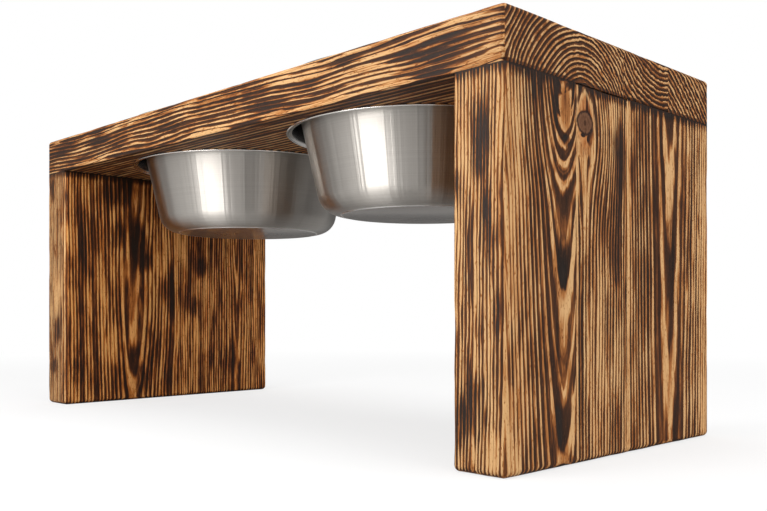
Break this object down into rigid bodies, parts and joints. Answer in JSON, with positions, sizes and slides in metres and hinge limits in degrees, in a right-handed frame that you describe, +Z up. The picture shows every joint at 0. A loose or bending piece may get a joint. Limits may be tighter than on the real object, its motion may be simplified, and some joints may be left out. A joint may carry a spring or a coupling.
{
  "type": "elevated dog bowl stand",
  "caption": "Raised feeding bench of charred, brushed pine boards; round steel-lined holes in its top hold lift-out stainless steel dog bowls.",
  "frame": {"origin": "on the floor under the middle of the bench", "axes": "+X along the bench, towards its right end as seen from the front; +Y from the front to the back; +Z up"},
  "size_m": [0.615, 0.262, 0.2847],
  "materials": {
    "charred_pine": "flame-charred, wire-brushed and matt oiled",
    "beech": "plain, glued in",
    "bowl_steel": "satin, brushed round the bowl",
    "liner_steel": "satin"
  },
  "bodies": {
    "stand": {"top_front_stave": "charred_pine", "top_middle_left_stave": "charred_pine", "top_middle_centre_stave": "charred_pine", "top_middle_right_stave": "charred_pine", "top_rear_stave": "charred_pine", "left_side_front_stave": "charred_pine", "left_side_middle_stave": "charred_pine", "left_side_rear_stave": "charred_pine", "right_side_front_stave": "charred_pine", "right_side_middle_stave": "charred_pine", "right_side_rear_stave": "charred_pine", "left_hole_liner": "liner_steel", "right_hole_liner": "liner_steel", "left_dowels": "beech", "right_dowels": "beech"},
    "left_bowl": {"left_bowl": "bowl_steel"},
    "right_bowl": {"right_bowl": "bowl_steel"}
  },
  "joints": [
    {"name": "left_bowl_lift", "type": "slide", "parent": "stand", "child": "left_bowl", "axis": [0, 0, 1], "range_m": [0, 0.13]},
    {"name": "right_bowl_lift", "type": "slide", "parent": "stand", "child": "right_bowl", "axis": [0, 0, 1], "range_m": [0, 0.13]}
  ]
}
